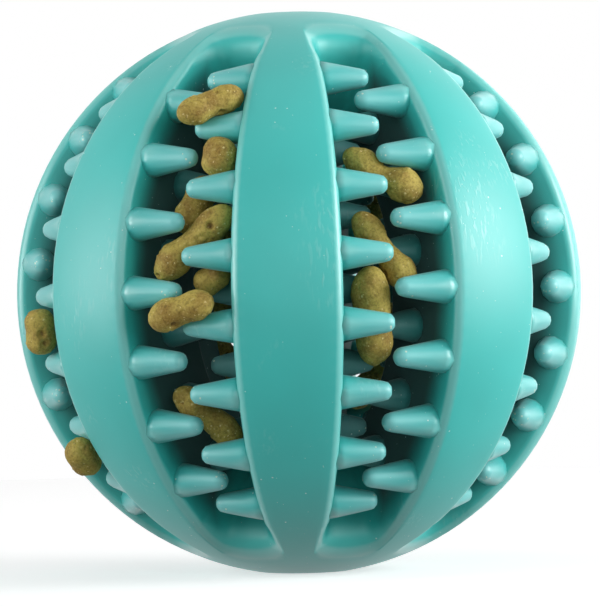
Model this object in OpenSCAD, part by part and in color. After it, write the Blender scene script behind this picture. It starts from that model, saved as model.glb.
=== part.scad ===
// Treat dispensing ball: a hollow rubber ball of eight ribs between two caps.
// Tapered rubber teeth close the eight slots and hold the biscuit treats.
// Millimetres, +Z up through the poles, origin at the middle of the ball.
// The front rib faces -Y. Ribs are numbered anticlockwise seen from above.

/* [Ball] */
// Diameter of the ball
ball_d = 70; // [64:1:90]
// Width of the flat disc at each pole, on which the ball can stand
pole_flat_d = 11.6; // [6:0.2:16]
// Thickness of the rubber from the skin to the inner chamber
wall_t = 14; // [13:0.5:16]

/* [Slots] */
// Width of each slot in degrees around the ball
slot_angle = 23.1; // [20:0.1:26]
// Angle from the pole at which each slot ends, in degrees
slot_end_angle = 28.4; // [24:0.2:32]

/* [Teeth] */
// Diameter of a tooth where it leaves the rib
tooth_root_d = 3.9; // [3:0.1:4.4]
// Diameter of a tooth at its round tip
tooth_tip_d = 2.0; // [1.4:0.1:2.4]
// Radius of the flare where a tooth grows out of the rib
tooth_flare_r = 0.5; // [0.2:0.1:0.8]
// Angle between neighbouring teeth of an outer row, in degrees of latitude
outer_pitch = 14.4; // [13.8:0.1:15]
// Angle between neighbouring teeth of an inner row, in degrees of latitude
inner_pitch = 19.5; // [18.8:0.1:20.2]
// Depth of the outer row below the skin
outer_row_depth = 2.5; // [2.3:0.1:3.5]
// Height of the inner row above the chamber
inner_row_height = 4.9; // [3:0.1:6]
// Length of a tooth at the equator, in an outer row of eight
long_row_tooth_l = 6.3; // [5:0.1:6.8]
// Length of a tooth at the equator, in an outer row of seven
short_row_tooth_l = 6.8; // [5:0.1:7.2]
// Length of a tooth at the equator, in an inner row
inner_tooth_l = 5.3; // [4:0.1:5.8]
// Shortening of the last tooth of a row, next to a slot's end
end_tooth_cut = 0.6; // [0:0.1:1]

/* [Treats] */
// Length of the longest treat
treat_l = 12.6; // [11:0.1:13]
// Diameter of the widest treat lobe
treat_d = 5.2; // [4.4:0.1:5.4]

/* [Hidden] */

// Colours as the photo shows them
rubber_color = "#5fc9c1";
tooth_color = "#86d3d1";
treat_color = "#a08746";

// The ball
rib_count = 8;
first_rib_azimuth = -90;
rib_step = 360 / rib_count;
rib_angle = rib_step - slot_angle;
ball_r = ball_d / 2;
chamber_r = ball_r - wall_t;
pole_z = sqrt(ball_r * ball_r - pole_flat_d * pole_flat_d / 4);
slot_end_latitude = 90 - slot_end_angle;
// Every cutting shape runs this far past what it cuts
overrun = 2;
cut_r = ball_r + overrun;
ball_fn = 96;
wedge_steps = 4;

// Heights of the teeth in a row as shares of its pitch. One wall has eight outer teeth
// and five inner ones; the wall across has seven and six, half a pitch from them.
long_outer_shares = [-3.5, -2.5, -1.5, -0.5, 0.5, 1.5, 2.5, 3.5];
short_outer_shares = [-3, -2, -1, 0, 1, 2, 3];
long_inner_shares = [-2.5, -1.5, -0.5, 0.5, 1.5, 2.5];
short_inner_shares = [-2, -1, 0, 1, 2];
outer_row_r = ball_r - outer_row_depth;
inner_row_r = chamber_r + inner_row_height;
// Seven slots have the long outer row on their clockwise wall; this one is turned over
turned_slot = 7;
tip_steps = 4;
flare_steps = 2;
tooth_fn = 24;
tooth_root_r = tooth_root_d / 2;
tooth_tip_r = tooth_tip_d / 2;
// The flare stays on the wall of the rib
flare_r = min(tooth_flare_r, outer_row_depth - tooth_root_r);

// Treats that lie end to end behind a slot, this far apart and at this share of the wall
treat_gap = 0.3;
stack_depth_share = 0.4;
// Height in outer pitches from one of them to the next
function end_to_end(length_share_1, length_share_2) =
    (treat_l * (length_share_1 + length_share_2) / 2 + treat_gap)
    / (ball_r - stack_depth_share * wall_t) * 180 / PI / outer_pitch;

// Each treat: its slot, its height in outer pitches, its place to the side as a share
// of half a slot and its depth as a share of the wall; its tilt, lean and dip in degrees;
// then its length, its two lobes and its waist as shares of the sizes above
treat_place_shares = [
    [7, 2.69, 0.30, 0.00, 43, -8, 18, 0.70, 0.70, 0.68, 0.84],
    [7, 2.00, 0.56, 0.18, 80, 24, 0, 0.37, 0.84, 0.80, 0.95],
    [7, 1.44, -0.10, 0.43, 65, 0, 0, 0.60, 0.76, 0.74, 0.85],
    [7, 0.74, 0.10, 0.30, 42, 0, 0, 0.98, 0.84, 0.78, 0.70],
    [7, 0.20, 0.40, 0.41, 30, 0, 0, 0.36, 0.66, 0.66, 0.90],
    [7, -0.25, 0.15, 0.01, 17, 0, 4, 0.66, 0.78, 0.76, 0.80],
    [7, -2.08, -0.05, 0.40, -51, -2, 5, 0.80, 0.76, 0.72, 0.75],
    [0, 1.78, 0.08, 0.30, -38, -12, 1, 0.84, 0.74, 0.92, 0.50],
    [0, 0.58, -0.01, 0.40, -54, 0, 0, 0.90, 0.76, 0.80, 0.60],
    [0, -0.44, -0.29, 0.40, -83, 3, 7, 0.94, 0.94, 0.92, 0.85],
    [6, -0.49, 0.35, 0.04, 85, 0, 0, 0.45, 0.76, 0.76, 0.90],
    [6, -2.34, 0.39, 0.00, 57, 8, -8, 0.42, 0.78, 0.76, 0.90],
    [3, end_to_end(0.84, 0.84), 0.28, 0.42, 81, 0, 0, 0.84, 0.78, 0.82, 0.70],
    [3, 0.00, 0.15, 0.46, 96, 0, 0, 0.84, 0.80, 0.76, 0.65],
    [3, -end_to_end(0.84, 0.86), 0.35, 0.43, 117, 0, 0, 0.86, 0.74, 0.80, 0.70],
    [4, end_to_end(0.84, 0.82), -0.20, 0.40, 98, 0, 0, 0.84, 0.80, 0.76, 0.70],
    [4, 0.00, 0.01, 0.41, 92, 0, 0, 0.82, 0.82, 0.76, 0.65],
    [4, -end_to_end(0.82, 0.80), 0.10, 0.45, 86, 0, 0, 0.80, 0.76, 0.80, 0.70],
    [2, -0.50, 0.00, 0.40, 60, 0, 0, 0.80, 0.78, 0.78, 0.70],
    [5, 0.75, 0.00, 0.40, -60, 0, 0, 0.84, 0.80, 0.76, 0.70]
];

// Rings along a treat from its middle to an end, and the reach of its waist
treat_fn = 24;
treat_steps = 7;
waist_reach_share = 0.5;

// Azimuth of a rib's middle and of a slot's middle
function rib_azimuth(i) = first_rib_azimuth + i * rib_step;
function slot_azimuth(i) = rib_azimuth(i) + rib_step / 2;

// A wedge of the half section between two latitudes, wider than the ball
module section_wedge(low, high) {
    step = (high - low) / wedge_steps;
    reach = cut_r / cos(step / 2);
    polygon(concat(
        [[0, 0]],
        [for (k = [0:wedge_steps]) [reach * cos(low + k * step), reach * sin(low + k * step)]]
    ));
}

// Half the ball's section between two latitudes, from the chamber out to the skin
module shell_section(low, high) {
    intersection() {
        difference() {
            circle(r = ball_r, $fn = ball_fn);
            circle(r = chamber_r, $fn = ball_fn);
        }
        section_wedge(low, high);
    }
}

// One pole cap with its flat on top, and a cone below that ends the slots
module cap() {
    intersection() {
        rotate_extrude($fn = ball_fn) shell_section(slot_end_latitude, 90);
        cylinder(r = cut_r, h = pole_z, $fn = ball_fn);
    }
}

// One rib from cap to cap, a slice of the shell
module rib(i) {
    rotate([0, 0, rib_azimuth(i) - rib_angle / 2])
        rotate_extrude(angle = rib_angle, $fn = ball_fn)
            shell_section(-slot_end_latitude, slot_end_latitude);
}

// One tooth standing on its flat base, with a flared root and a round tip
module tooth(l) {
    rotate_extrude($fn = tooth_fn)
        polygon(concat(
            [[0, 0]],
            [for (k = [0:flare_steps])
                [tooth_root_r + flare_r * (1 - sin(90 * k / flare_steps)),
                 flare_r * (1 - cos(90 * k / flare_steps))]],
            [for (k = [0:tip_steps])
                [tooth_tip_r * cos(90 * k / tip_steps),
                 l - tooth_tip_r * (1 - sin(90 * k / tip_steps))]]
        ));
}

// One row of teeth on the wall at an azimuth; side is 1 on an anticlockwise wall, else -1
module tooth_row(azimuth, side, row_r, pitch, shares, l) {
    for (share = shares)
        rotate([0, -share * pitch, azimuth])
            translate([row_r, 0, 0])
                rotate([-90 * side, 0, 0])
                    tooth(l - end_tooth_cut * abs(share) / max(shares));
}

// Both rows on one wall: where the outer row is long, the inner one is short
module wall_teeth(azimuth, side, outer_long) {
    outer_shares = outer_long ? long_outer_shares : short_outer_shares;
    inner_shares = outer_long ? short_inner_shares : long_inner_shares;
    outer_l = outer_long ? long_row_tooth_l : short_row_tooth_l;
    tooth_row(azimuth, side, outer_row_r, outer_pitch, outer_shares, outer_l);
    tooth_row(azimuth, side, inner_row_r, inner_pitch, inner_shares, inner_tooth_l);
}

// All teeth of one rib, as separate solids on its two walls
module rib_teeth(i) {
    slot_before = (i + rib_count - 1) % rib_count;
    wall_teeth(rib_azimuth(i) + rib_angle / 2, 1, i != turned_slot);
    wall_teeth(rib_azimuth(i) - rib_angle / 2, -1, slot_before == turned_slot);
}

// Radius of a treat at a share of its half length, from one lobe to the other
function treat_r(s, lobe_1, lobe_2, waist) =
    treat_d / 2 * (lobe_1 + (lobe_2 - lobe_1) * (s + 1) / 2)
    * sqrt(1 - pow(abs(s), 3))
    * (1 - (1 - waist) * pow(max(0, 1 - pow(s / waist_reach_share, 2)), 2));

// One treat, a two-lobed biscuit turned about its long axis, lying at its place
module treat(n) {
    p = treat_place_shares[n - 1];
    half_l = treat_l * p[7] / 2;
    rotate([0, -p[1] * outer_pitch, slot_azimuth(p[0]) + p[2] * slot_angle / 2])
        translate([ball_r - p[3] * wall_t, 0, 0])
            rotate([p[4], p[5], p[6]])
                rotate([-90, 0, 0])
                    rotate_extrude($fn = treat_fn)
                        polygon([for (k = [-treat_steps:treat_steps])
                            let (s = sin(90 * k / treat_steps))
                            [treat_r(s, p[8], p[9], p[10]), half_l * s]]);
}

module top_cap() { color(rubber_color) cap(); }
module bottom_cap() { color(rubber_color) mirror([0, 0, 1]) cap(); }
module front_rib() { color(rubber_color) rib(0); }
module front_right_rib() { color(rubber_color) rib(1); }
module right_rib() { color(rubber_color) rib(2); }
module back_right_rib() { color(rubber_color) rib(3); }
module back_rib() { color(rubber_color) rib(4); }
module back_left_rib() { color(rubber_color) rib(5); }
module left_rib() { color(rubber_color) rib(6); }
module front_left_rib() { color(rubber_color) rib(7); }
module front_rib_teeth() { color(tooth_color) rib_teeth(0); }
module front_right_rib_teeth() { color(tooth_color) rib_teeth(1); }
module right_rib_teeth() { color(tooth_color) rib_teeth(2); }
module back_right_rib_teeth() { color(tooth_color) rib_teeth(3); }
module back_rib_teeth() { color(tooth_color) rib_teeth(4); }
module back_left_rib_teeth() { color(tooth_color) rib_teeth(5); }
module left_rib_teeth() { color(tooth_color) rib_teeth(6); }
module front_left_rib_teeth() { color(tooth_color) rib_teeth(7); }
module treat_1() { color(treat_color) treat(1); }
module treat_2() { color(treat_color) treat(2); }
module treat_3() { color(treat_color) treat(3); }
module treat_4() { color(treat_color) treat(4); }
module treat_5() { color(treat_color) treat(5); }
module treat_6() { color(treat_color) treat(6); }
module treat_7() { color(treat_color) treat(7); }
module treat_8() { color(treat_color) treat(8); }
module treat_9() { color(treat_color) treat(9); }
module treat_10() { color(treat_color) treat(10); }
module treat_11() { color(treat_color) treat(11); }
module treat_12() { color(treat_color) treat(12); }
module treat_13() { color(treat_color) treat(13); }
module treat_14() { color(treat_color) treat(14); }
module treat_15() { color(treat_color) treat(15); }
module treat_16() { color(treat_color) treat(16); }
module treat_17() { color(treat_color) treat(17); }
module treat_18() { color(treat_color) treat(18); }
module treat_19() { color(treat_color) treat(19); }
module treat_20() { color(treat_color) treat(20); }

top_cap();
bottom_cap();
front_rib();
front_right_rib();
right_rib();
back_right_rib();
back_rib();
back_left_rib();
left_rib();
front_left_rib();
front_rib_teeth();
front_right_rib_teeth();
right_rib_teeth();
back_right_rib_teeth();
back_rib_teeth();
back_left_rib_teeth();
left_rib_teeth();
front_left_rib_teeth();
treat_1();
treat_2();
treat_3();
treat_4();
treat_5();
treat_6();
treat_7();
treat_8();
treat_9();
treat_10();
treat_11();
treat_12();
treat_13();
treat_14();
treat_15();
treat_16();
treat_17();
treat_18();
treat_19();
treat_20();
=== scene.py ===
"""Treat dispensing ball: a slotted rubber ball, its rubber teeth and the biscuit treats between them.

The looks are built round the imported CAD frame, in metres, with +Z up through the poles.
"""
import math

import bmesh
import bpy
from bpy.props import FloatProperty, FloatVectorProperty, IntProperty, PointerProperty
from mathutils import Matrix, Vector, noise


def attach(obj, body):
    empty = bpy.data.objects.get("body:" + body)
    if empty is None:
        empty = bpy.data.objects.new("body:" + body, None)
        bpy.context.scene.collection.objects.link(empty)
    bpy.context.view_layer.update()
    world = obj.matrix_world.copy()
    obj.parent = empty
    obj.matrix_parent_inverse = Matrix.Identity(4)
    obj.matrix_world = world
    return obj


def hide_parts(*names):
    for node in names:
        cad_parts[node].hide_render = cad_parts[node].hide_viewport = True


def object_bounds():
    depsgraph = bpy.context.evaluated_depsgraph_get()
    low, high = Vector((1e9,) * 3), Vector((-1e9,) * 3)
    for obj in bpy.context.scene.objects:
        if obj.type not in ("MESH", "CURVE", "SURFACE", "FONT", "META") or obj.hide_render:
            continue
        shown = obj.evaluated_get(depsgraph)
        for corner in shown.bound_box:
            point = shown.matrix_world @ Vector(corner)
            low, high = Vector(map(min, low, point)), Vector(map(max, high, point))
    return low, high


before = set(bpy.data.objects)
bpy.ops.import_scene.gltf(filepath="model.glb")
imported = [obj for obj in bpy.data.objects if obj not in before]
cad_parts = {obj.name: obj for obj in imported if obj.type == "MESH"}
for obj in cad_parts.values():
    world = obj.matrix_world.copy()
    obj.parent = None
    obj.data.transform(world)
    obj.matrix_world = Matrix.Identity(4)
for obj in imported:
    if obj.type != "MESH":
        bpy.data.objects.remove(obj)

bl_info = {
    "name": "Treat Dispensing Ball",
    "version": (1, 0, 0),
    "blender": (4, 5, 0),
    "location": "View3D > Sidebar > Treat Ball",
    "description": "Adds a slotted rubber ball with its teeth, its treats and a stage",
    "category": "Add Mesh",
}

MM = 0.001
CAD_LOW, CAD_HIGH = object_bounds()

# Ribs anticlockwise seen from above, from the one that faces -Y
RIBS = ["front", "front_right", "right", "back_right", "back", "back_left", "left", "front_left"]
RIB_STEP = math.tau / len(RIBS)
FIRST_RIB_AZIMUTH = -math.pi / 2

# Faces across a rib or a slot, along a slot, from a slot's end to the flat, and across the flat
COLUMNS = 6
SLOT_RINGS = 44
CAP_RINGS = 10
FLAT_RINGS = 3
# The rings of faces at each end of a rib that go with the cap
CAP_SHARE = 1
# The columns inside a rib are drawn in to this share, so that its rims have room for their rounding
INNER_COLUMNS = 0.9
# Segments of the rounding of the outer and the inner rims
OUTER_SEGMENTS, INNER_SEGMENTS = 4, 2
# The skin round a slot's end is smoothed down to this depth, over a share of the dip's reach that
# starts with the first value and grows by the second one each time
SMOOTH_DEPTH = 5 * MM
SMOOTH_START, SMOOTH_STEP = 0.5, 0.12
# Points closer together than this are one
MERGE = MM / 1000

# Heights of the teeth in a row as shares of its pitch: a wall with eight outer teeth
# has five inner ones, and the wall across has seven and six
LONG_OUTER = [-3.5, -2.5, -1.5, -0.5, 0.5, 1.5, 2.5, 3.5]
SHORT_OUTER = [-3, -2, -1, 0, 1, 2, 3]
LONG_INNER = [-2.5, -1.5, -0.5, 0.5, 1.5, 2.5]
SHORT_INNER = [-2, -1, 0, 1, 2]
# This slot is turned over: its long outer row is on the other wall
TURNED_SLOT = 7
# Faces round a tooth, and how deep its base is sunk in the rib
TOOTH_SIDES = 12
TOOTH_SUNK = 1 * MM

# What noise draws on a treat, in millimetres: broad and small lumps, the cells between which cracks
# run and the patches that have them, the cells that may hold a dent or a crumb, and the grain
LUMP, SMALL_LUMP = 2.4, 1.1
CRACK_CELL, CRACK_PATCH = 1.3, 1.6
DENT_CELL, CRUMB_CELL = 2.1, 0.75
GRAIN, FINE_GRAIN = 0.5, 0.27
# A dent or crumb reaches this share of its cell. It is there when its cell's own value, the noise at
# so many times the cell's middle, is above the pick
SPOT_REACH = 0.3
CELL_VALUE_STEP = 3.7
DENT_PICK, CRUMB_PICK = 0.12, 0.2
# Passes of smoothing that take the steps out of a remeshed treat
TREAT_SMOOTHING = 8

# Soft boxes that face the ball: azimuth from straight in front and elevation in degrees, and width
LIGHTS = {
    "left_light": (-72, 3, 0.75, "left_power"),
    "left_lamp": (-82, 2, 0.24, "lamp_power"),
    "right_light": (73, 0, 0.75, "right_power"),
    "window_light": (84, 17, 0.36, "window_power"),
    "front_light": (8, 14, 0.6, "front_power"),
    "top_light": (0, 75, 0.5, "top_power"),
    "back_light": (140, 15, 0.75, "back_power"),
}
LIGHT_DISTANCE = 0.7
FLOOR_RADIUS = 0.3

# The photograph's height, its pixels to one unit of slope, and how far its middle is off the lens's
# axis to the right and up, in pixels. The film is 36 mm, as in a full frame camera
PHOTO_HEIGHT = 607
PHOTO_SLOPE = 3372
PHOTO_SHIFT = (1.03, -10.8)
FILM = 36

# Inputs of a colour mix: how much of the upper colour, the lower colour and the upper one
AMOUNT, LOWER, UPPER = 0, 6, 7


def linear_from_hex(code):
    """An sRGB hex colour as linear red, green and blue."""
    values = [int(code[k:k + 2], 16) / 255 for k in (1, 3, 5)]
    return tuple(v / 12.92 if v <= 0.04045 else ((v + 0.055) / 1.055) ** 2.4 for v in values)


def colour(name, description, code):
    """A colour that a user can change."""
    return FloatVectorProperty(
        name=name, description=description, subtype="COLOR", size=3,
        min=0, max=1, default=linear_from_hex(code))


def length(name, description, millimetres):
    """A length that a user can change."""
    return FloatProperty(
        name=name, description=description, unit="LENGTH", min=0, default=millimetres * MM)


def angle(name, description, degrees):
    """An angle that a user can change."""
    return FloatProperty(
        name=name, description=description, subtype="ANGLE", default=math.radians(degrees))


def light_power(name, watts):
    """The power of a light that a user can change."""
    return FloatProperty(
        name=name, description="Power of this light", unit="POWER", min=0, default=watts)


class ShellSettings(bpy.types.PropertyGroup):
    """Sizes and colour of the rubber caps and ribs"""
    radius: length("Radius", "Radius of the ball", CAD_HIGH.x / MM)
    pole_height: length("Pole height", "Height of the flat disc above the middle", CAD_HIGH.z / MM)
    wall: length("Wall", "Thickness of the rubber from the skin to the chamber", 14)
    slot_angle: angle("Slot width", "Width of a slot round the ball", 23.1)
    slot_end: angle("Slot end", "Angle from the pole at which a slot ends", 28.4)
    rim_round: length("Rim rounding", "Rounding of a slot's outer rim", 1.15)
    chamber_round: length("Chamber rounding", "Rounding of a slot's inner rim", 0.35)
    end_dip: length("Slot end dip", "How far the skin dips where a slot ends", 2.0)
    end_dip_angle: angle("Slot end dip reach", "Angle over which the skin dips towards a slot's end", 6)
    end_smoothing: IntProperty(
        name="Slot end smoothing", description="Times that it is smoothed", min=0, default=8)
    rubber: colour("Rubber", "Colour of the moulded rubber", "#2cbfb8")


class TeethSettings(bpy.types.PropertyGroup):
    """Sizes and colour of the rubber teeth"""
    root_width: length("Root width", "Width of a tooth at the rib", 3.9)
    tip_width: length("Tip width", "Width of a tooth at its round tip", 2.0)
    flare: length("Flare", "Flare of a tooth where it grows out of the rib", 0.5)
    belly: length("Belly", "How far a tooth swells behind its round tip", 0.18)
    outer_pitch: angle("Outer pitch", "Angle between the teeth of an outer row", 14.4)
    inner_pitch: angle("Inner pitch", "Angle between the teeth of an inner row", 19.5)
    outer_depth: length("Outer depth", "Depth of the outer row below the skin", 2.5)
    inner_height: length("Inner height", "Height of the inner row above the chamber", 4.9)
    long_row_length: length("Length in a row of eight", "Length of an outer tooth", 6.3)
    short_row_length: length("Length in a row of seven", "Length of an outer tooth", 6.8)
    inner_length: length("Inner length", "Length of an inner tooth", 5.3)
    end_cut: length("End cut", "Shortening of the last tooth of a row", 0.6)
    rubber: colour("Tooth rubber", "Colour of a tooth at its root", "#30b8b4")
    # Painted glow: the thin tips are paler, for light that shines through the rubber
    tip_glow_rubber: colour("Tooth tip", "Colour of a tooth at its thin tip", "#74cfcd")


class TreatSettings(bpy.types.PropertyGroup):
    """Surface and colours of the biscuit treats"""
    grid: length("Grid", "Spacing of the points on a treat's surface", 0.17)
    lump_depth: length("Lump depth", "Depth of the broad hollows", 0.36)
    pit_depth: length("Pit depth", "Depth of the baked dents and cracks", 0.45)
    crumb_height: length("Crumb height", "Height of the loose crumbs", 0.12)
    swell: length("Swell", "How far the highest lumps stand out", 0.22)
    seed: IntProperty(name="Seed", description="Changes the lumps and pits", default=7)
    biscuit: colour("Biscuit", "Colour of the baked surface", "#bba64f")
    toasted: colour("Toasted", "Colour of the darker, more baked patches", "#8c6c2c")
    crumb: colour("Crumb", "Colour of the pale, dry crumbs", "#e8d898")


class StageSettings(bpy.types.PropertyGroup):
    """Floor, lights and camera"""
    left_power: light_power("Left light", 4.6)
    lamp_power: light_power("Left lamp", 0.7)
    right_power: light_power("Right light", 5.0)
    window_power: light_power("Window light", 2.7)
    front_power: light_power("Front light", 1.1)
    top_power: light_power("Top light", 0.45)
    back_power: light_power("Back light", 2.0)
    ambient: FloatProperty(
        name="Ambient", description="Strength of the light from all round", min=0, default=0.065)
    floor: colour("Floor", "Colour of the floor under the object", "#ffffff")
    camera_distance: length("Camera distance", "From the camera to the middle of the ball", 420)
    camera_azimuth: angle("Camera azimuth", "Towards +X from straight in front", 2.3)
    camera_elevation: angle("Camera elevation", "Above the horizon", -0.75)
    camera_roll: angle("Camera roll", "Clockwise turn of the camera", 1.2)


# Materials

def add_node(tree, kind, inputs=None, **settings):
    """Adds a node, gives it its settings, and sets its inputs or links them. A node given as an
    input stands for its first output in use."""
    made = tree.nodes.new(kind)
    for name, value in settings.items():
        setattr(made, name, value)
    for name, value in (inputs or {}).items():
        if isinstance(value, bpy.types.Node):
            value = next(output for output in value.outputs if output.enabled)
        if isinstance(value, bpy.types.NodeSocket):
            tree.links.new(value, made.inputs[name])
        else:
            made.inputs[name].default_value = value
    return made


def new_tree(name):
    """An empty material and its node tree."""
    material = bpy.data.materials.new(name)
    material.use_nodes = True
    material.node_tree.nodes.clear()
    return material, material.node_tree


def rgba(values):
    """A colour with full alpha, for a socket."""
    return (*values, 1.0)


def lay_over(tree, paint, mask, amount, layer):
    """Lays a colour over the paint where the mask is 1, to that amount."""
    amount = add_node(tree, "ShaderNodeMath", {0: mask, 1: amount}, operation="MULTIPLY")
    return add_node(tree, "ShaderNodeMix", {
        AMOUNT: amount, LOWER: paint, UPPER: rgba(layer)}, data_type="RGBA")


def specks(tree, place, cell, reach, share):
    """A mask of round specks in a share of the cells, which reach so many cell widths."""
    cells = add_node(tree, "ShaderNodeTexVoronoi", {"Vector": place, "Scale": 1 / cell})
    near = add_node(tree, "ShaderNodeMath", {0: cells, 1: reach}, operation="LESS_THAN")
    value = add_node(tree, "ShaderNodeSeparateColor", {"Color": cells.outputs["Color"]})
    picked = add_node(tree, "ShaderNodeMath", {0: value, 1: share}, operation="LESS_THAN")
    return add_node(tree, "ShaderNodeMath", {0: near, 1: picked}, operation="MULTIPLY")


def painted_depth_shade(tree, place, from_middle, height, painted_shade_range):
    """Painted shade by depth in a slot: how much of the colour is left there, and that painted shade
    times the pigment's drift in brightness.
    """
    # Painted shade: deep in a slot, where little light reaches, the colour is darkened, but the slot's
    # ends are spared it
    start, full, least = painted_shade_range
    depth_shade = add_node(tree, "ShaderNodeMapRange", {
        "Value": from_middle, "From Min": start * MM, "From Max": full * MM, "To Min": least},
        interpolation_type="SMOOTHSTEP")
    steep = add_node(tree, "ShaderNodeMath", {0: height, 1: from_middle}, operation="DIVIDE")
    ledge = add_node(tree, "ShaderNodeMapRange", {"Value": steep, "From Min": 0.78, "From Max": 0.87},
                     interpolation_type="SMOOTHSTEP")
    depth_shade_and_drift = add_node(tree, "ShaderNodeMath", {0: depth_shade, 1: ledge}, operation="MAXIMUM")
    # The pigment drifts slowly, over 12 mm
    drift = add_node(tree, "ShaderNodeTexNoise", {"Vector": place, "Scale": 1 / (12 * MM), "Detail": 2.0})
    drift = add_node(tree, "ShaderNodeMapRange", {
        "Value": drift, "From Min": 0.3, "From Max": 0.7, "To Min": 0.94, "To Max": 1.05})
    return depth_shade, add_node(tree, "ShaderNodeMath", {0: depth_shade_and_drift, 1: drift}, operation="MULTIPLY")


def rubbed_and_highlit_rims(tree, from_middle, height, skin, pole):
    """A mask of the rims of the slots, from 0.1 to 0.9 mm below the skin, away from the flats: rubbed
    glossier, and painted pale as a highlight.
    """
    rim_wear_and_highlight = add_node(tree, "ShaderNodeMapRange", {
        "Value": from_middle, "From Min": skin - 0.9 * MM, "From Max": skin - 0.5 * MM},
        interpolation_type="SMOOTHSTEP")
    below = add_node(tree, "ShaderNodeMapRange", {
        "Value": from_middle, "From Min": skin - 0.03 * MM, "From Max": skin - 0.12 * MM})
    off_pole = add_node(tree, "ShaderNodeMath", {0: height, 1: pole - 0.5 * MM}, operation="LESS_THAN")
    rim_wear_and_highlight = add_node(tree, "ShaderNodeMath", {0: rim_wear_and_highlight, 1: below}, operation="MULTIPLY")
    return add_node(tree, "ShaderNodeMath", {0: rim_wear_and_highlight, 1: off_pole}, operation="MULTIPLY")


def scuffs_and_cheek_highlight(tree, place):
    """A mask of slanting strokes about 0.25 mm wide and 1.5 mm long, in worn patches, gathered on one
    cheek where they also paint a highlight.
    """
    slant = add_node(tree, "ShaderNodeMapping", {
        "Vector": place, "Rotation": (0.5, 0.9, 0.4), "Scale": (1.0, 1.0, 0.2)})
    strokes = add_node(tree, "ShaderNodeTexNoise", {
        "Vector": slant, "Scale": 1 / (0.4 * MM), "Detail": 2.0})
    strokes = add_node(tree, "ShaderNodeMapRange", {
        "Value": strokes, "From Min": 0.52, "From Max": 0.66}, interpolation_type="SMOOTHSTEP")
    # Most of them are on the cheek of the rib that faces front and right, where the side light's
    # highlight falls, so their pale paint there is also a painted highlight
    highlight_cheek = add_node(tree, "ShaderNodeVectorMath", {
        0: place, 1: (21 * MM, -25.5 * MM, 12 * MM)}, operation="DISTANCE")
    highlight_cheek = add_node(tree, "ShaderNodeMapRange", {
        "Value": highlight_cheek, "From Min": 13 * MM, "From Max": 4 * MM, "To Max": 0.22})
    worn = add_node(tree, "ShaderNodeTexNoise", {"Vector": place, "Scale": 1 / (9 * MM), "Detail": 2.0})
    worn = add_node(tree, "ShaderNodeMath", {0: worn, 1: highlight_cheek}, operation="ADD")
    worn = add_node(tree, "ShaderNodeMapRange", {
        "Value": worn, "From Min": 0.58, "From Max": 0.78}, interpolation_type="SMOOTHSTEP")
    return add_node(tree, "ShaderNodeMath", {0: worn, 1: strokes}, operation="MULTIPLY")


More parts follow.
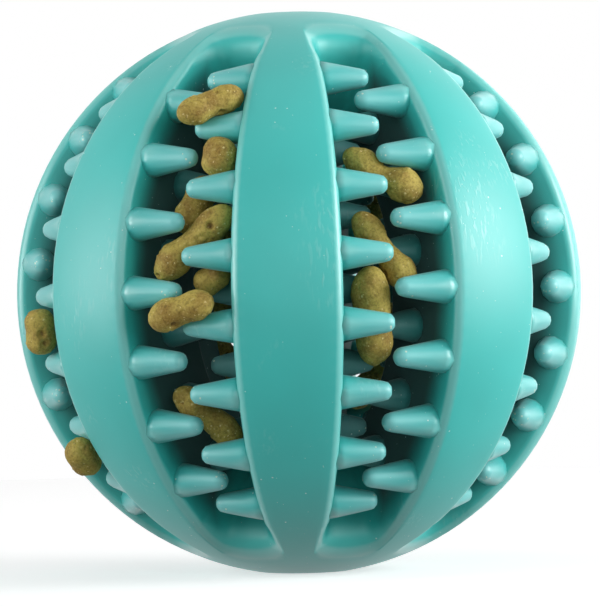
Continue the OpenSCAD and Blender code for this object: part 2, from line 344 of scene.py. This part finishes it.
def moulded_rubber(name, base, rough, painted_shade_range, skin, pole, tip=None):
    """Thermoplastic rubber from an injection mould: a satin skin with a soft, wide sheen, a fine
    spark-eroded grain, rims rubbed smooth and painted pale as a highlight, scuffs that also paint a
    highlight on one cheek, specks of dust that cling to it, painted shade deep in the slots, and on teeth
    tips painted paler as a glow."""
    material, tree = new_tree(name)
    place = add_node(tree, "ShaderNodeTexCoord").outputs["Object"]
    from_middle = add_node(tree, "ShaderNodeVectorMath", {0: place}, operation="LENGTH")
    height = add_node(tree, "ShaderNodeSeparateXYZ", {0: place}).outputs["Z"]
    height = add_node(tree, "ShaderNodeMath", {0: height}, operation="ABSOLUTE")
    depth_shade, depth_shade_and_drift = painted_depth_shade(tree, place, from_middle, height, painted_shade_range)
    rim_wear_and_highlight = rubbed_and_highlit_rims(tree, from_middle, height, skin, pole)
    scuff_and_highlight = scuffs_and_cheek_highlight(tree, place)

    paint = rgba(base)
    # Painted glow: a tooth pales towards its thin tip, for light that shines through the rubber
    if tip:
        along = add_node(tree, "ShaderNodeAttribute", attribute_name="along_tooth").outputs["Fac"]
        paint = add_node(tree, "ShaderNodeMix", {
            AMOUNT: along, LOWER: paint, UPPER: rgba(tip)}, data_type="RGBA")
    # Painted highlight: the rims are painted pale where light catches their rounding, and handling rubs
    # them glossier; a scuff is pale too, and on one cheek it also paints a highlight
    paint = lay_over(tree, paint, rim_wear_and_highlight, 0.35, linear_from_hex("#9fe3dd"))
    paint = lay_over(tree, paint, scuff_and_highlight, 0.22, linear_from_hex("#a8e2dd"))
    # Painted shade: the colour is darkened with depth in a slot, and drifts a little in brightness
    paint = add_node(tree, "ShaderNodeHueSaturation", {"Color": paint, "Value": depth_shade_and_drift})
    # Dust: a speck in some of the cells, a few of 0.2 mm and more of 0.1 mm
    for cell, reach, share in ((1.3 * MM, 0.08, 0.16), (0.7 * MM, 0.075, 0.2)):
        dust = specks(tree, place, cell, reach, share)
        paint = lay_over(tree, paint, dust, 0.75, linear_from_hex("#cfe9e4"))
    if tip:
        # Crumbs off the treats, 0.1 to 0.25 mm across, cling to the tips of some teeth
        where = add_node(tree, "ShaderNodeTexNoise", {
            "Vector": place, "Scale": 1 / (4 * MM), "Detail": 1.0})
        where = add_node(tree, "ShaderNodeMapRange", {
            "Value": where, "From Min": 0.42, "From Max": 0.6, "To Max": 0.6})
        at_tip = add_node(tree, "ShaderNodeMapRange", {
            "Value": along, "From Min": 0.7, "From Max": 0.97})
        where = add_node(tree, "ShaderNodeMath", {0: where, 1: at_tip}, operation="MULTIPLY")
        crumbs = specks(tree, place, 0.42 * MM, 0.3, where)
        paint = lay_over(tree, paint, crumbs, 0.75, linear_from_hex("#e6eccf"))

    # Rims and scuffs are glossier, and the shaded depth is duller
    smooth = add_node(tree, "ShaderNodeMath", {0: rim_wear_and_highlight, 1: scuff_and_highlight}, operation="MAXIMUM")
    gloss = add_node(tree, "ShaderNodeMapRange", {
        "Value": smooth, "To Min": rough, "To Max": rough - 0.12})
    dull = add_node(tree, "ShaderNodeMapRange", {
        "Value": depth_shade, "From Min": painted_shade_range[2], "From Max": 0.6, "To Min": 0.3, "To Max": 0.0})
    gloss = add_node(tree, "ShaderNodeMath", {0: gloss, 1: dull}, operation="ADD")
    # The mould's grain is about 0.1 mm on the real one, drawn at 0.3 mm so that it shows
    grain = add_node(tree, "ShaderNodeTexNoise", {
        "Vector": place, "Scale": 1 / (0.3 * MM), "Detail": 3.0, "Roughness": 0.6})
    fine = add_node(tree, "ShaderNodeBump", {"Height": grain, "Strength": 0.14, "Distance": 0.03 * MM})
    rough_places = add_node(tree, "ShaderNodeBump", {
        "Height": scuff_and_highlight, "Strength": 0.4, "Distance": 0.05 * MM, "Normal": fine})
    rubber = add_node(tree, "ShaderNodeBsdfPrincipled", {
        "Base Color": paint, "Roughness": gloss, "IOR": 1.5, "Specular IOR Level": 0.8,
        "Sheen Weight": 0.12, "Sheen Roughness": 0.5, "Normal": rough_places})
    add_node(tree, "ShaderNodeOutputMaterial", {"Surface": rubber})
    return material


def baked_biscuit(name, looks):
    """Extruded and baked biscuit: a dry, dull olive and gold crust, toasted brown in patches and painted
    darker brown as shade in its dents, cracks and hollows, with pale loose crumbs, so that it breaks the
    light up and has almost no sheen."""
    material, tree = new_tree(name)
    place = add_node(tree, "ShaderNodeTexCoord").outputs["Object"]
    # How far the crust stands out of its hollows, and where a crumb sits on it, from 0 to 1
    crust = add_node(tree, "ShaderNodeAttribute", attribute_name="crust_height").outputs["Fac"]
    raised = add_node(tree, "ShaderNodeAttribute", attribute_name="loose_crumb").outputs["Fac"]
    # Toasted patches about 2.5 mm across, and painted shade: the dents and cracks darker brown
    toast = add_node(tree, "ShaderNodeTexNoise", {
        "Vector": place, "Scale": 1 / (2.5 * MM), "Detail": 3.0})
    toast = add_node(tree, "ShaderNodeMapRange", {
        "Value": toast, "From Min": 0.44, "From Max": 0.68, "To Max": 0.8})
    painted_dent_shade = add_node(tree, "ShaderNodeMapRange", {
        "Value": crust, "From Min": 0.6, "From Max": 0.15, "To Max": 0.9})
    toast = add_node(tree, "ShaderNodeMath", {0: toast, 1: painted_dent_shade}, operation="MAXIMUM")
    paint = add_node(tree, "ShaderNodeMix", {
        AMOUNT: toast, LOWER: rgba(looks.biscuit), UPPER: rgba(looks.toasted)}, data_type="RGBA")
    # Grit about 0.25 mm across, lighter and darker than the crust
    grit = add_node(tree, "ShaderNodeTexNoise", {
        "Vector": place, "Scale": 1 / (0.3 * MM), "Detail": 3.0, "Roughness": 0.6})
    light = add_node(tree, "ShaderNodeMapRange", {
        "Value": grit, "From Min": 0.56, "From Max": 0.74, "To Max": 0.3})
    paint = add_node(tree, "ShaderNodeMix", {
        AMOUNT: light, LOWER: paint, UPPER: rgba(looks.crumb)}, data_type="RGBA")
    shade = add_node(tree, "ShaderNodeMapRange", {
        "Value": grit, "From Min": 0.36, "From Max": 0.5, "To Min": 0.65})
    # Painted shade: the deepest hollows are darkened to 0.45 of their colour
    painted_hollow_shade = add_node(tree, "ShaderNodeMapRange", {
        "Value": crust, "From Min": 0.0, "From Max": 0.35, "To Min": 0.45})
    shade = add_node(tree, "ShaderNodeMath", {0: shade, 1: painted_hollow_shade}, operation="MULTIPLY")
    paint = add_node(tree, "ShaderNodeHueSaturation", {"Color": paint, "Value": shade})
    # Loose crumbs: the raised ones, and small ones of 0.15 mm that lie thick in some places
    bent = add_node(tree, "ShaderNodeTexNoise", {"Vector": place, "Scale": 1 / (0.2 * MM), "Detail": 1.0})
    bent = add_node(tree, "ShaderNodeVectorMath", {
        0: bent.outputs["Color"], 1: (0.3 * MM, 0.3 * MM, 0.3 * MM), 2: place}, operation="MULTIPLY_ADD")
    thick = add_node(tree, "ShaderNodeTexNoise", {"Vector": place, "Scale": 1 / (3 * MM), "Detail": 2.0})
    thick = add_node(tree, "ShaderNodeMapRange", {
        "Value": thick, "From Min": 0.45, "From Max": 0.7, "To Min": 0.03, "To Max": 0.45})
    small = specks(tree, bent, 0.42 * MM, 0.24, thick)
    large = add_node(tree, "ShaderNodeMapRange", {"Value": raised, "From Min": 0.2, "From Max": 0.6})
    crumbs = add_node(tree, "ShaderNodeMath", {0: small, 1: large}, operation="MAXIMUM")
    paint = lay_over(tree, paint, crumbs, 0.8, looks.crumb)
    bump = add_node(tree, "ShaderNodeBump", {"Height": grit, "Strength": 0.6, "Distance": 0.1 * MM})
    dough = add_node(tree, "ShaderNodeBsdfPrincipled", {
        "Base Color": paint, "Roughness": 0.75, "IOR": 1.45, "Normal": bump})
    add_node(tree, "ShaderNodeOutputMaterial", {"Surface": dough})
    return material


# Shell

def rib_place(point):
    """The nearest rib's number, and the point's azimuth from the middle of that rib."""
    turn = math.atan2(point.y, point.x) - FIRST_RIB_AZIMUTH + RIB_STEP / 2
    return int(turn // RIB_STEP) % len(RIBS), turn % RIB_STEP - RIB_STEP / 2


def latitude(point):
    """Angle of a point above the ball's equator."""
    return math.asin(max(-1.0, min(1.0, point.z / point.length)))


def slot_end_latitude(size):
    """The latitude at which the slots end."""
    return math.pi / 2 - size.slot_end


def half_rib_angle(size):
    """Angle from the middle of a rib to its wall."""
    return (RIB_STEP - size.slot_angle) / 2


def skin_section(size):
    """The skin's half section from the top pole to the bottom one."""
    end = slot_end_latitude(size)
    flat_edge = math.asin(size.pole_height / size.radius)
    flat_r = size.radius * math.cos(flat_edge)
    flat = [Vector((flat_r * k / FLAT_RINGS, 0, size.pole_height)) for k in range(FLAT_RINGS)]
    # The last ring of the cap stays clear of the rim's rounding
    clear = end + 1.6 * size.rim_round / size.radius
    latitudes = [flat_edge + (clear - flat_edge) * k / CAP_RINGS for k in range(CAP_RINGS + 1)]
    latitudes += [end - 2 * end * k / SLOT_RINGS for k in range(SLOT_RINGS // 2)]
    upper = flat + [size.radius * Vector((math.cos(a), 0, math.sin(a))) for a in latitudes]
    lower = [Vector((p.x, 0, -p.z)) for p in reversed(upper)]
    return upper + [Vector((size.radius, 0, 0))] + lower


def fit_columns(bm, size):
    """Turns the columns of faces so that their edges follow the walls of the slots."""
    half_rib = half_rib_angle(size)
    quarter = RIB_STEP / 4
    for v in bm.verts:
        if math.hypot(v.co.x, v.co.y) > MM / 100:
            _, off = rib_place(v.co)
            if abs(off) <= quarter:
                share = abs(off) / quarter
                on_wall = share > 0.99
                new = math.copysign(half_rib * (share if on_wall else share * INNER_COLUMNS), off)
            else:
                share = (abs(off) - quarter) / quarter
                new = math.copysign(half_rib + share * (RIB_STEP / 2 - half_rib), off)
            v.co.rotate(Matrix.Rotation(new - off, 3, "Z"))


def on_skin(face):
    """True for a face of the skin or the chamber, false for a wall of a slot."""
    return abs(face.normal.dot(face.calc_center_median().normalized())) > 0.7


def keep_even_normals(bm):
    """Keeps at each point a normal weighted by the area of its faces, so that large faces stay even
    beside small ones, and the cuts between the pieces don't show."""
    bm.normal_update()
    kept = bm.verts.layers.float_vector.new("even_normal")
    for v in bm.verts:
        v[kept] = sum((f.normal * f.calc_area() for f in v.link_faces), Vector()).normalized()


def round_edges(bm, edges, radius, segments, clamp):
    """Rounds edges with a bevel. With clamp it is made smaller where it would run into another."""
    bmesh.ops.bevel(
        bm, geom=edges, offset=radius, offset_type="OFFSET", affect="EDGES",
        segments=segments, profile=0.5, material=-1, clamp_overlap=clamp)


def slot_rims(bm, size, outer):
    """The edges between the walls of the slots and the skin, or else the chamber."""
    bm.normal_update()
    middle = size.radius - size.wall / 2
    return [e for e in bm.edges if len(e.link_faces) == 2
            and (e.verts[0].co.length > middle) == outer
            and on_skin(e.link_faces[0]) != on_skin(e.link_faces[1])]


def soften_slot_ends(bm, size):
    """Lets the skin of the caps dip into the ends of the slots, where the mould is broadly rounded."""
    end, half_rib = slot_end_latitude(size), half_rib_angle(size)
    for v in bm.verts:
        if v.co.length > size.radius - size.wall / 2:
            up = (abs(latitude(v.co)) - end) / size.end_dip_angle
            across = (abs(rib_place(v.co)[1]) - half_rib) / (RIB_STEP / 2 - half_rib)
            if -0.1 < up < 1 and across > 0:
                # Full at the slot's end, from a third of the way across, and none at the far side
                fall = (1 - max(0.0, up)) ** 2 * min(1.0, across * 3) ** 0.5
                v.co *= 1 - size.end_dip * fall / v.co.length
    # Smoothing then spreads the roundings there over about 3 mm, over a wider patch each time
    for k in range(size.end_smoothing):
        reach = size.end_dip_angle * (SMOOTH_START + SMOOTH_STEP * k)
        near = [v for v in bm.verts if v.co.length > size.radius - SMOOTH_DEPTH
                and abs(abs(latitude(v.co)) - end) < reach
                and abs(rib_place(v.co)[1]) > half_rib - reach / 3]
        bmesh.ops.smooth_vert(
            bm, verts=near, factor=0.5, use_axis_x=True, use_axis_y=True, use_axis_z=True)


def whole_shell(size):
    """The rubber shell in one: the sphere with flat poles, eight slots, walls and rounded rims."""
    bm = bmesh.new()
    verts = [bm.verts.new(p) for p in skin_section(size)]
    edges = [bm.edges.new(pair) for pair in zip(verts, verts[1:])]
    bmesh.ops.spin(
        bm, geom=verts + edges, cent=(0, 0, 0), axis=(0, 0, 1), dvec=(0, 0, 0),
        angle=math.tau, steps=2 * COLUMNS * len(RIBS), use_merge=True, use_duplicate=False)
    bmesh.ops.remove_doubles(bm, verts=bm.verts[:], dist=MERGE)
    fit_columns(bm, size)
    end, half_rib = slot_end_latitude(size), half_rib_angle(size)
    open_faces = []
    for f in bm.faces:
        centre = f.calc_center_median()
        if abs(latitude(centre)) < end and abs(rib_place(centre)[1]) > half_rib:
            open_faces.append(f)
    bmesh.ops.delete(bm, geom=open_faces, context="FACES")
    made = bmesh.ops.extrude_face_region(bm, geom=bm.faces[:], use_keep_orig=True)
    chamber = size.radius - size.wall
    for v in made["geom"]:
        if isinstance(v, bmesh.types.BMVert):
            v.co = v.co.normalized() * chamber
    bmesh.ops.recalc_face_normals(bm, faces=bm.faces[:])
    round_edges(bm, slot_rims(bm, size, True), size.rim_round, OUTER_SEGMENTS, clamp=False)
    round_edges(bm, slot_rims(bm, size, False), size.chamber_round, INNER_SEGMENTS, clamp=True)
    soften_slot_ends(bm, size)
    bmesh.ops.recalc_face_normals(bm, faces=bm.faces[:])
    keep_even_normals(bm)
    return bm


def cut_shell(shell, keep):
    """One closed piece of the shell, with the faces whose middle passes the test."""
    bm = shell.copy()
    others = [f for f in bm.faces if not keep(f.calc_center_median())]
    bmesh.ops.delete(bm, geom=others, context="FACES")
    bmesh.ops.holes_fill(bm, edges=[e for e in bm.edges if e.is_boundary], sides=0)
    bmesh.ops.recalc_face_normals(bm, faces=bm.faces[:])
    return bm


def add_piece(bm, name, material, body, nodes):
    """Makes an object of the mesh, which rides on its body and stands for its CAD nodes."""
    if not bm.faces:
        raise RuntimeError(name + " has no faces")
    mesh = bpy.data.meshes.new(name)
    bm.to_mesh(mesh)
    bm.free()
    mesh.materials.append(material)
    mesh.shade_smooth()
    kept = mesh.attributes.get("even_normal")
    if kept:
        mesh.normals_split_custom_set_from_vertices([tuple(d.vector) for d in kept.data])
        mesh.attributes.remove(mesh.attributes["even_normal"])
    obj = bpy.data.objects.new(name, mesh)
    bpy.context.scene.collection.objects.link(obj)
    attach(obj, body)
    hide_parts(*nodes)
    return obj


def shell_material(settings):
    """The material of the caps and ribs, made once."""
    # The caps and ribs are painted darker as shade deeper than 34 mm from the middle, down to 0.13 of
    # their colour at 30.1 mm
    return bpy.data.materials.get("moulded_rubber") or moulded_rubber(
        "moulded_rubber", settings.rubber, 0.45, (30.1, 34.0, 0.13),
        settings.radius, settings.pole_height)


def split_latitude(size):
    """The latitude at which the ribs are cut from the caps."""
    end = slot_end_latitude(size)
    return end - 2 * end * CAP_SHARE / SLOT_RINGS


class AddCaps(bpy.types.Operator):
    """Adds the two rubber caps in which the ribs meet"""
    bl_idname = "treat_ball.add_caps"
    bl_label = "Add Caps"

    def execute(self, context):
        size = context.scene.treat_ball_shell
        shell = whole_shell(size)
        cut = split_latitude(size)
        for name, side in (("top_cap", 1), ("bottom_cap", -1)):
            piece = cut_shell(shell, lambda c: latitude(c) * side > cut)
            add_piece(piece, name + "_moulding", shell_material(size), "ball", [name])
        shell.free()
        return {"FINISHED"}


class AddRibs(bpy.types.Operator):
    """Adds the eight rubber ribs"""
    bl_idname = "treat_ball.add_ribs"
    bl_label = "Add Ribs"

    def execute(self, context):
        size = context.scene.treat_ball_shell
        shell = whole_shell(size)
        cut = split_latitude(size)
        for i, rib in enumerate(RIBS):
            piece = cut_shell(shell, lambda c: abs(latitude(c)) < cut and rib_place(c)[0] == i)
            add_piece(piece, rib + "_rib_moulding", shell_material(size), "ball", [rib + "_rib"])
        shell.free()
        return {"FINISHED"}


# Teeth

def tooth_outline(size, reach):
    """Half outline of a tooth, from its sunk base to its tip, as distance from the axis and height."""
    root, tip = size.root_width / 2, size.tip_width / 2
    return [
        (root + 0.6 * size.flare, -TOOTH_SUNK),
        (root, size.flare * 1.6),
        (tip + size.belly, reach - tip),
        (tip + 0.1 * size.belly, reach - 0.45 * tip),
        (tip * 0.6, reach - 0.08 * tip),
        (0.0, reach),
    ]


def add_tooth(bm, along, size, reach, place):
    """Spins one tooth, standing on its base at a place."""
    before = set(bm.verts)
    verts = [bm.verts.new(place @ Vector((r, 0, h))) for r, h in tooth_outline(size, reach)]
    edges = [bm.edges.new(pair) for pair in zip(verts, verts[1:])]
    axis = place.to_3x3() @ Vector((0, 0, 1))
    bmesh.ops.spin(
        bm, geom=verts + edges, cent=place.translation, axis=axis, dvec=(0, 0, 0),
        angle=math.tau, steps=TOOTH_SIDES, use_merge=True, use_duplicate=False)
    new = [v for v in bm.verts if v not in before]
    bmesh.ops.remove_doubles(bm, verts=new, dist=MERGE)
    for v in bm.verts:
        if v not in before:
            v[along] = max(0.0, (v.co - place.translation).dot(axis) / reach)


def rib_teeth(shell, size, number):
    """All teeth of one rib, in an outer and an inner row on both of its walls."""
    bm = bmesh.new()
    along = bm.verts.layers.float.new("along_tooth")
    half_rib = half_rib_angle(shell)
    azimuth = FIRST_RIB_AZIMUTH + number * RIB_STEP
    before = (number - 1) % len(RIBS)
    for side, outer_long in ((1, number != TURNED_SLOT), (-1, before == TURNED_SLOT)):
        rows = [
            (shell.radius - size.outer_depth, size.outer_pitch,
             LONG_OUTER if outer_long else SHORT_OUTER,
             size.long_row_length if outer_long else size.short_row_length),
            (shell.radius - shell.wall + size.inner_height, size.inner_pitch,
             SHORT_INNER if outer_long else LONG_INNER, size.inner_length),
        ]
        for row_r, pitch, shares, reach in rows:
            for share in shares:
                place = (Matrix.Rotation(azimuth + side * half_rib, 4, "Z")
                         @ Matrix.Rotation(-share * pitch, 4, "Y")
                         @ Matrix.Translation((row_r, 0, 0))
                         @ Matrix.Rotation(-side * math.pi / 2, 4, "X"))
                add_tooth(bm, along, size, reach - size.end_cut * abs(share) / max(shares), place)
    bmesh.ops.holes_fill(bm, edges=[e for e in bm.edges if e.is_boundary], sides=0)
    bmesh.ops.recalc_face_normals(bm, faces=bm.faces[:])
    keep_even_normals(bm)
    return bm


class AddTeeth(bpy.types.Operator):
    """Adds the rubber teeth of all eight ribs"""
    bl_idname = "treat_ball.add_teeth"
    bl_label = "Add Teeth"

    def execute(self, context):
        shell = context.scene.treat_ball_shell
        size = context.scene.treat_ball_teeth
        # The teeth are painted darker as shade deeper than 32.8 mm from the middle, down to 0.35 of their
        # colour at 25.5 mm
        material = moulded_rubber(
            "tooth_rubber", size.rubber, 0.42, (25.5, 32.8, 0.35),
            shell.radius, shell.pole_height, size.tip_glow_rubber)
        for number, rib in enumerate(RIBS):
            bm = rib_teeth(shell, size, number)
            add_piece(bm, rib + "_rib_fingers", material, "ball", [rib + "_rib_teeth"])
        return {"FINISHED"}


# Treats

def remeshed(node, grid):
    """A closed, even copy of a CAD node's mesh."""
    bm = bmesh.new()
    bm.from_mesh(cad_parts[node].data)
    bmesh.ops.remove_doubles(bm, verts=bm.verts[:], dist=MERGE)
    mesh = bpy.data.meshes.new("biscuit_blank")
    bm.to_mesh(mesh)
    blank = bpy.data.objects.new("biscuit_blank", mesh)
    bpy.context.scene.collection.objects.link(blank)
    remesh = blank.modifiers.new("Even", "REMESH")
    remesh.mode = "VOXEL"
    remesh.voxel_size = grid
    graph = bpy.context.evaluated_depsgraph_get()
    bm.clear()
    bm.from_object(blank, graph)
    bpy.data.objects.remove(blank)
    bpy.data.meshes.remove(mesh)
    return bm


def spot_distance(point, value_shift, pick):
    """Distance from the middle of a spot, 1 at its edge, and 1 all over a cell that has none."""
    near, middle = (found[0] for found in noise.voronoi(point))
    return near / SPOT_REACH if noise.noise(middle * CELL_VALUE_STEP + value_shift) > pick else 1.0


def bake_surface(bm, looks, number):
    """Sinks hollows, pits and cracks into a treat's surface, sets loose crumbs on it, and keeps both."""
    crust = bm.verts.layers.float.new("crust_height")
    crumbs = bm.verts.layers.float.new("loose_crumb")
    # Each treat takes its own place in the noise
    shift = Vector((number * 17.3, looks.seed * 5.1, number * -8.7))
    for _ in range(TREAT_SMOOTHING):
        bmesh.ops.smooth_vert(
            bm, verts=bm.verts[:], factor=0.5, use_axis_x=True, use_axis_y=True, use_axis_z=True)
    bm.normal_update()
    moves = []
    for v in bm.verts:
        p = v.co / MM + shift
        lump = 0.5 + 0.5 * noise.noise(p / LUMP) + 0.15 * noise.noise(p / SMALL_LUMP)
        near, next_near = noise.voronoi(p / CRACK_CELL)[0][:2]
        crack = max(0.0, 1 - (next_near - near) / 0.2) * max(0.0, noise.noise(p / CRACK_PATCH + shift))
        dent = max(0.0, 1 - spot_distance(p / DENT_CELL - shift, -shift, DENT_PICK) ** 2)
        crumb = max(0.0, 1 - spot_distance(p / CRUMB_CELL, shift, CRUMB_PICK))
        grain = noise.noise(p / GRAIN) + 0.5 * noise.noise(p / FINE_GRAIN)
        sunk = looks.lump_depth * lump + looks.pit_depth * (dent + 0.6 * crack)
        # How far the crust stands out: low in the hollows, pits and cracks, which the material darkens as
        # painted shade
        v[crust] = 1 - min(1.0, 0.35 * lump + 0.75 * dent + 0.5 * crack)
        v[crumbs] = crumb
        moves.append(looks.swell - sunk + looks.crumb_height * (crumb + 0.3 * grain))
    for v, move in zip(bm.verts, moves):
        v.co += v.normal * move


class AddTreats(bpy.types.Operator):
    """Adds the baked biscuit treats between the teeth"""
    bl_idname = "treat_ball.add_treats"
    bl_label = "Add Treats"

    def execute(self, context):
        looks = context.scene.treat_ball_treats
        material = baked_biscuit("baked_biscuit", looks)
        names = [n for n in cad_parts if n.startswith("treat_")]
        names.sort(key=lambda n: int(n.removeprefix("treat_")))
        for number, node in enumerate(names, 1):
            bm = remeshed(node, looks.grid)
            bake_surface(bm, looks, number)
            add_piece(bm, "biscuit_%d" % number, material, node, [node])
        return {"FINISHED"}


# Stage

def facing_middle(azimuth, elevation, distance):
    """The place and turn of a lamp or camera that looks at the middle of the ball."""
    back = Vector((math.sin(azimuth) * math.cos(elevation), -math.cos(azimuth) * math.cos(elevation),
                   math.sin(elevation)))
    return Matrix.Translation(back * distance) @ back.to_track_quat("Z", "Y").to_matrix().to_4x4()


def soft_light(name, azimuth, elevation, width, power):
    """A square soft box that faces the middle of the ball."""
    lamp = bpy.data.lights.new(name, "AREA")
    lamp.shape = "SQUARE"
    lamp.size = width
    lamp.energy = power
    obj = bpy.data.objects.new(name, lamp)
    obj.matrix_world = facing_middle(math.radians(azimuth), math.radians(elevation), LIGHT_DISTANCE)
    bpy.context.scene.collection.objects.link(obj)


def mirrored_rays(tree):
    """The light path, and 1 for rays that show the backdrop in a reflection or through glass."""
    rays = add_node(tree, "ShaderNodeLightPath")
    return rays, add_node(tree, "ShaderNodeMath", {
        0: rays.outputs["Is Glossy Ray"], 1: rays.outputs["Is Transmission Ray"]}, operation="MAXIMUM")


def matt_card(colour_seen):
    """Matt card: it keeps the ball's shadow for the camera, is plain white in reflections, and
    throws little light back up."""
    material, tree = new_tree("matt_card")
    rays, mirrored = mirrored_rays(tree)
    card = add_node(tree, "ShaderNodeBsdfDiffuse", {"Color": (0.7, 0.7, 0.7, 1)})
    lift = add_node(tree, "ShaderNodeEmission", {"Color": rgba(colour_seen), "Strength": 0.6})
    seen = add_node(tree, "ShaderNodeAddShader", {0: card, 1: lift})
    dull = add_node(tree, "ShaderNodeBsdfDiffuse", {"Color": (0.2, 0.2, 0.2, 1)})
    white = add_node(tree, "ShaderNodeEmission", {"Color": rgba(colour_seen), "Strength": 1.0})
    unseen = add_node(tree, "ShaderNodeMixShader", {0: mirrored, 1: dull, 2: white})
    mixed = add_node(tree, "ShaderNodeMixShader", {
        0: rays.outputs["Is Camera Ray"], 1: unseen, 2: seen})
    add_node(tree, "ShaderNodeOutputMaterial", {"Surface": mixed})
    return material


def studio_world(ambient):
    """White for the camera and in reflections, and a weak light from all round for the rest."""
    world = bpy.data.worlds.new("studio")
    world.use_nodes = True
    tree = world.node_tree
    tree.nodes.clear()
    rays, mirrored = mirrored_rays(tree)
    seen = add_node(tree, "ShaderNodeMath", {
        0: rays.outputs["Is Camera Ray"], 1: mirrored}, operation="MAXIMUM")
    strength = add_node(tree, "ShaderNodeMapRange", {"Value": seen, "To Min": ambient, "To Max": 1.0})
    sky = add_node(tree, "ShaderNodeBackground", {"Color": (1, 1, 1, 1), "Strength": strength})
    add_node(tree, "ShaderNodeOutputWorld", {"Surface": sky})
    return world


class AddStage(bpy.types.Operator):
    """Adds the floor, the soft lights, the world and the camera"""
    bl_idname = "treat_ball.add_stage"
    bl_label = "Add Stage"

    def execute(self, context):
        looks = context.scene.treat_ball_stage
        scene = context.scene
        bm = bmesh.new()
        bmesh.ops.create_circle(bm, cap_ends=True, radius=FLOOR_RADIUS, segments=64,
                                matrix=Matrix.Translation((0, 0, CAD_LOW.z)))
        mesh = bpy.data.meshes.new("floor")
        bm.to_mesh(mesh)
        bm.free()
        mesh.materials.append(matt_card(looks.floor))
        floor = bpy.data.objects.new("floor", mesh)
        scene.collection.objects.link(floor)

        for name, (azimuth, elevation, width, power) in LIGHTS.items():
            soft_light(name, azimuth, elevation, width, getattr(looks, power))
        scene.world = studio_world(looks.ambient)
        scene.view_settings.view_transform = "Standard"

        lens = bpy.data.cameras.new("camera")
        lens.sensor_width = FILM
        lens.lens = PHOTO_SLOPE * FILM / PHOTO_HEIGHT
        lens.shift_x, lens.shift_y = (pixels / PHOTO_HEIGHT for pixels in PHOTO_SHIFT)
        lens.clip_start = 10 * MM
        camera = bpy.data.objects.new("camera", lens)
        camera.matrix_world = (
            facing_middle(looks.camera_azimuth, looks.camera_elevation, looks.camera_distance)
            @ Matrix.Rotation(-looks.camera_roll, 4, "Z"))
        scene.collection.objects.link(camera)
        scene.camera = camera
        return {"FINISHED"}


class TreatBallPanel(bpy.types.Panel):
    """Lists the ball's settings and the operators that add its pieces"""
    bl_idname = "VIEW3D_PT_treat_ball"
    bl_label = "Treat Ball"
    bl_space_type = "VIEW_3D"
    bl_region_type = "UI"
    bl_category = "Treat Ball"

    def draw(self, context):
        for group, operators in PARTS:
            box = self.layout.box()
            settings = getattr(context.scene, group)
            for name in settings.bl_rna.properties.keys():
                if name not in ("rna_type", "name"):
                    box.prop(settings, name)
            for operator in operators:
                box.operator(operator.bl_idname)


PARTS = [
    ("treat_ball_shell", [AddCaps, AddRibs]),
    ("treat_ball_teeth", [AddTeeth]),
    ("treat_ball_treats", [AddTreats]),
    ("treat_ball_stage", [AddStage]),
]
GROUPS = {
    "treat_ball_shell": ShellSettings,
    "treat_ball_teeth": TeethSettings,
    "treat_ball_treats": TreatSettings,
    "treat_ball_stage": StageSettings,
}
CLASSES = [*GROUPS.values(), AddCaps, AddRibs, AddTeeth, AddTreats, AddStage, TreatBallPanel]


def register():
    for cls in CLASSES:
        bpy.utils.register_class(cls)
    for name, group in GROUPS.items():
        setattr(bpy.types.Scene, name, PointerProperty(type=group))


def unregister():
    for name in GROUPS:
        delattr(bpy.types.Scene, name)
    for cls in reversed(CLASSES):
        bpy.utils.unregister_class(cls)


def main():
    register()
    bpy.ops.treat_ball.add_stage()
    bpy.ops.treat_ball.add_caps()
    bpy.ops.treat_ball.add_ribs()
    bpy.ops.treat_ball.add_teeth()
    bpy.ops.treat_ball.add_treats()


if __name__ == "__main__":
    main()
